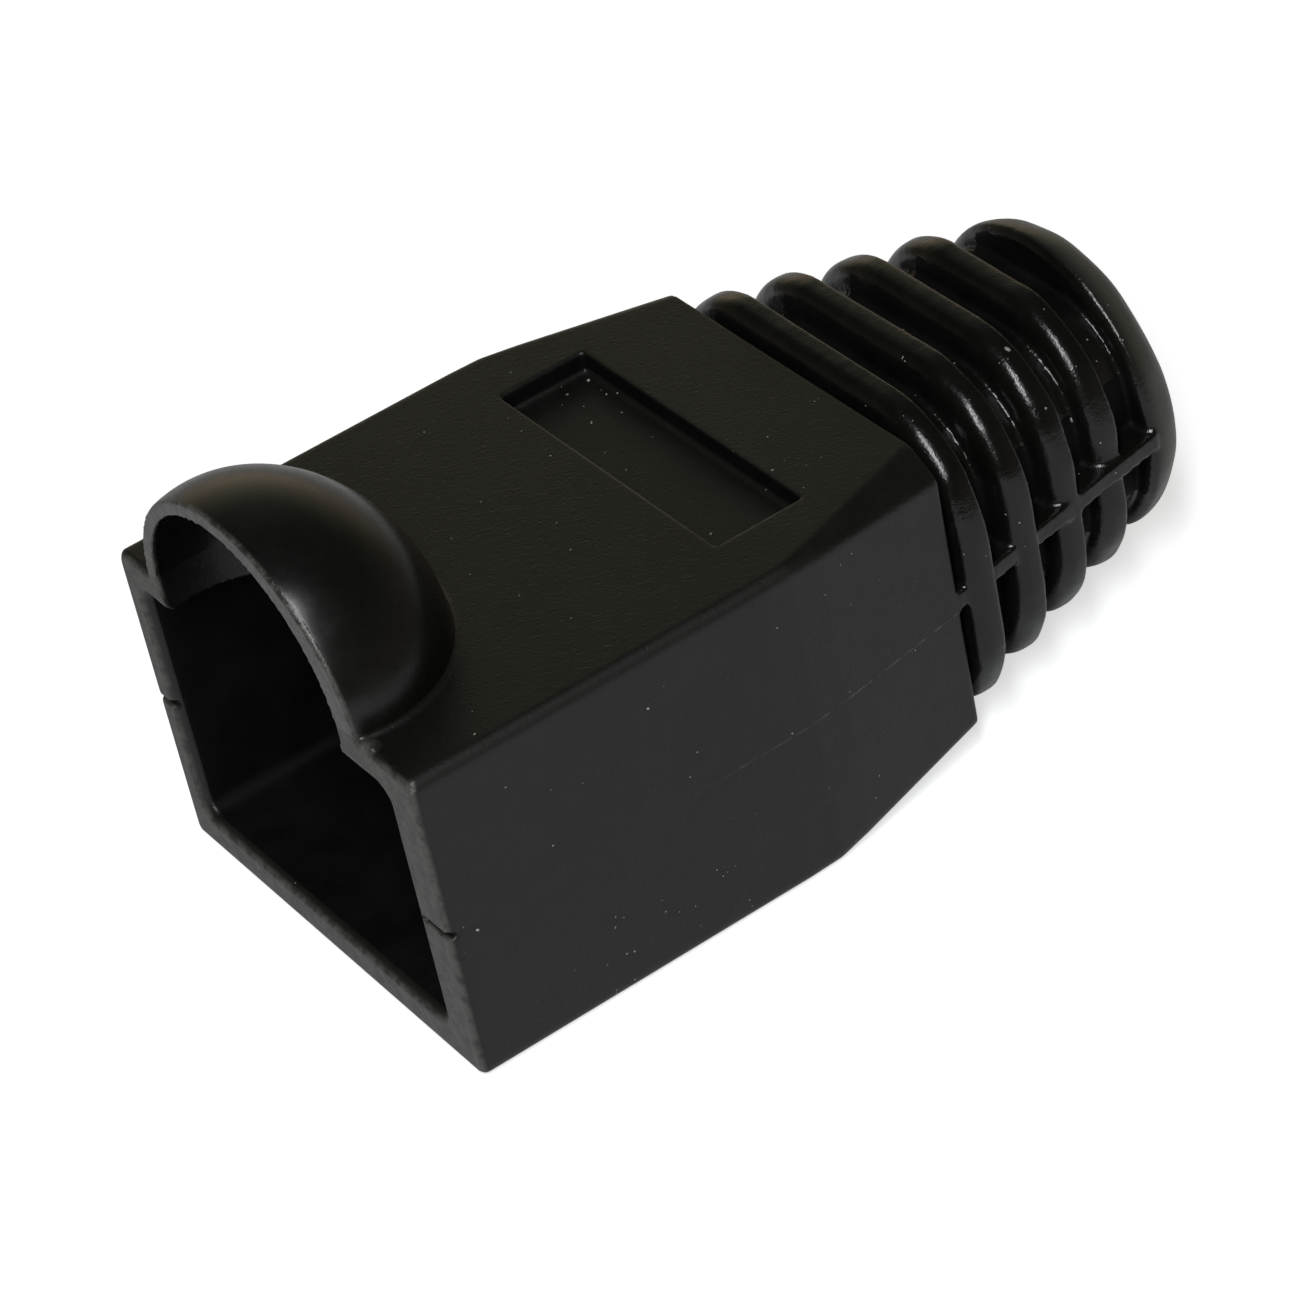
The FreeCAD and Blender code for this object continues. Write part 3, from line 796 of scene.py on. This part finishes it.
dust = {
    "colour": (0.42, 0.42, 0.39), "dull": (0.16, 0.16, 0.14), "roughness": 0.8,
    "clouds": (3.0, 2, 0.55, 0.35, 0.65),
    "seed": 7, "smallest": 0.45, "longer": (0.7, 1.6), "wider": (0.6, 1.0), "flatter": 0.5, "lift": 0.2,
    "drop": 4.0,  # how far off the skin a grain starts, and twice that is how far it may fall
    "patches": (  # centre, spread, number of grains, largest radius, the side from which they settle
        ((-3.6, 12.4, 9.0), (1.2, 0.8, 0.3), 5, 0.034, (0, 0, 1)),
        ((0.0, 9.0, 9.0), (6.0, 7.0, 0.3), 26, 0.030, (0, 0, 1)),
        ((4.0, 14.6, 9.0), (2.4, 1.6, 0.3), 8, 0.034, (0, 0, 1)),
        ((7.0, 8.0, 4.5), (0.3, 8.0, 4.2), 30, 0.028, (1, 0, 0)),
        ((7.0, 4.5, 1.2), (0.3, 4.0, 1.0), 16, 0.034, (1, 0, 0)),
        ((6.0, 20.0, 5.8), (0.3, 3.6, 0.8), 16, 0.040, (1, 0, 0.2)),
        ((3.4, 20.5, 9.0), (1.8, 4.0, 0.6), 26, 0.036, (0.5, 0, 1)),
        ((0.0, 21.0, 9.5), (3.0, 4.0, 0.3), 12, 0.034, (0, 0, 1)),
        ((1.0, 0.0, 1.0), (5.8, 0.1, 0.9), 10, 0.032, (0, -1, 0)),
    ),
    "placed": (  # larger grains, each with its centre, radius and side
        ((3.5, 20.9, 9.4), 0.085, (0.5, 0, 1)),
        ((7.0, 0.78, 4.43), 0.06, (1, 0, 0)),
        ((7.0, 6.6, 7.8), 0.045, (1, 0, 0)),
        ((-4.4, 12.95, 9.0), 0.06, (0, 0, 1)),
        ((-4.3, 12.2, 9.0), 0.045, (0, 0, 1)),
        ((-3.5, 12.9, 9.0), 0.05, (0, 0, 1)),
        ((-2.5, 12.7, 9.0), 0.04, (0, 0, 1)),
        ((-2.75, 11.9, 9.0), 0.045, (0, 0, 1)),
        ((3.6, 11.16, 9.0), 0.05, (0, 0, 1)),
        ((6.5, 2.2, 9.0), 0.05, (0, 0, 1)),
        ((5.5, 22.0, 7.4), 0.055, (1, 0, 0.6)),
    ),
}


def makeDustMaterial():
    material, tree, shader = newMaterial("paleDust")
    cloud = noiseMask(tree, millimetres(tree), dust["clouds"])
    tree.links.new(mixColour(tree, cloud, dust["dull"], dust["colour"]), shader.inputs["Base Color"])
    shader.inputs["Roughness"].default_value = dust["roughness"]
    return material


def makeDust():
    rng = random.Random(dust["seed"])
    grains = [(Vector(centre), radius, side) for centre, radius, side in dust["placed"]]
    for centre, spread, count, largest, side in dust["patches"]:
        for _ in range(count):
            where = Vector(centre) + Vector([rng.uniform(-1, 1) * reach for reach in spread])
            grains.append((where, largest * rng.uniform(dust["smallest"], 1.0), side))
    skin = BVHTree.FromObject(boot, bpy.context.evaluated_depsgraph_get())
    drop = dust["drop"] * mm
    bm = bmesh.new()
    for where, radius, side in grains:
        away = Vector(side).normalized()
        start = Vector((where.x * mm, where.y * mm + mouthY, where.z * mm)) + away * drop
        spot, normal, _, _ = skin.ray_cast(start, -away, 2 * drop)
        if spot is None:
            continue
        longer, wider = rng.uniform(*dust["longer"]), rng.uniform(*dust["wider"])
        stretch = Matrix.Diagonal((longer, wider, dust["flatter"], 1.0))
        spin = Matrix.Rotation(rng.uniform(0, math.tau), 4, "Z")
        turn = normal.to_track_quat("Z", "X").to_matrix().to_4x4() @ spin
        lay = Matrix.Translation(spot + normal * radius * dust["lift"] * mm) @ turn @ stretch
        bmesh.ops.create_icosphere(bm, subdivisions=1, radius=radius * mm, matrix=lay)
    mesh = bpy.data.meshes.new("dustGrains")
    bm.to_mesh(mesh)
    bm.free()
    mesh.shade_smooth()
    mesh.materials.append(makeDustMaterial())
    thing = bpy.data.objects.new("dustGrains", mesh)
    scene.collection.objects.link(thing)
    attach(thing, "root")


makeDust()
print("dust settled")


ground = {
    "size": 1.5, "roughness": 0.9, "colour": (0.82, 0.84, 0.85),
    "shown": 0.64, "inGloss": 0.05,  # white that only the camera and the gloss see
    # the part behind the boot is dark, in the gloss only
    "behind": (0.12, 0.12, 0.11), "behindFrom": (0.045, 0.09), "behindRight": (-0.01, 0.02),
}


def makeFloor():
    bm = bmesh.new()
    bmesh.ops.create_grid(bm, x_segments=1, y_segments=1, size=ground["size"])
    floor = newObject("floor", bm)
    material, tree, shader = newMaterial("paleFloor")
    shader.inputs["Roughness"].default_value = ground["roughness"]
    shader.inputs["Emission Color"].default_value = (1, 1, 1, 1)
    rays = addNode(tree, "ShaderNodeLightPath").outputs
    gloss = mathNode(tree, "ADD", rays["Is Glossy Ray"], rays["Is Transmission Ray"], clamp=True)
    seen = total(
        tree, product(tree, rays["Is Camera Ray"], ground["shown"]),
        product(tree, gloss, ground["inGloss"]),
    )
    tree.links.new(seen, shader.inputs["Emission Strength"])
    axes = alongAxes(tree, objectPlace(tree))
    behind = product(
        tree, mapRange(tree, axes["Y"], *ground["behindFrom"]),
        mapRange(tree, axes["X"], *ground["behindRight"]), gloss,
    )
    tree.links.new(mixColour(tree, behind, ground["colour"], ground["behind"]), shader.inputs["Base Color"])
    floor.data.materials.append(material)


sky = {
    "stops": (
        (0.0, (0.60, 0.53, 0.44)), (0.2, (0.60, 0.46, 0.31)), (0.42, (0.30, 0.32, 0.22)),
        (0.60, (0.12, 0.14, 0.105)), (1.0, (0.16, 0.17, 0.16)),
    ),
    # the light from the right and from the front is cut to these shares
    "leftToRight": (-0.85, -0.25), "right": 0.2,
    "frontToBack": (-0.15, 0.3), "front": 0.2,
}


def makeWorld():
    world = bpy.data.worlds.new("studio")
    scene.world = world
    world.use_nodes = True
    tree = world.node_tree
    background = tree.nodes["Background"]
    axes = alongAxes(tree, addNode(tree, "ShaderNodeTexCoord").outputs["Generated"])
    ramp = addNode(tree, "ShaderNodeValToRGB", {"Fac": axes["Z"]})
    stops = ramp.color_ramp.elements
    while len(stops) < len(sky["stops"]):
        stops.new(0.5)
    for stop, (position, colour) in zip(stops, sky["stops"]):
        stop.position = position
        stop.color = (*colour, 1)
    seen = addNode(tree, "ShaderNodeLightPath").outputs["Is Camera Ray"]
    tree.links.new(mixColour(tree, seen, ramp.outputs["Color"], (1, 1, 1)), background.inputs["Color"])
    side = product(
        tree, mapRange(tree, axes["X"], *sky["leftToRight"], 1.0, sky["right"]),
        mapRange(tree, axes["Y"], *sky["frontToBack"], sky["front"], 1.0),
    )
    tree.links.new(mathNode(tree, "MAXIMUM", side, seen), background.inputs["Strength"])


softbox = {"azimuth": 52, "elevation": 51, "distance": 0.35, "width": 0.055, "height": 0.26, "power": 0.85}


def makeLamp():
    back = directionTo(softbox["azimuth"], softbox["elevation"])
    data = bpy.data.lights.new("softbox", "AREA")
    data.shape = "RECTANGLE"
    data.size, data.size_y = softbox["width"], softbox["height"]
    data.energy = softbox["power"]
    lamp = bpy.data.objects.new("softbox", data)
    turn = back.to_track_quat("Z", "Y").to_matrix().to_4x4()
    lamp.matrix_world = Matrix.Translation(back * softbox["distance"]) @ turn
    scene.collection.objects.link(lamp)


makeFloor()
makeWorld()
makeLamp()
scene.view_settings.view_transform = "Standard"
print("studio ready")
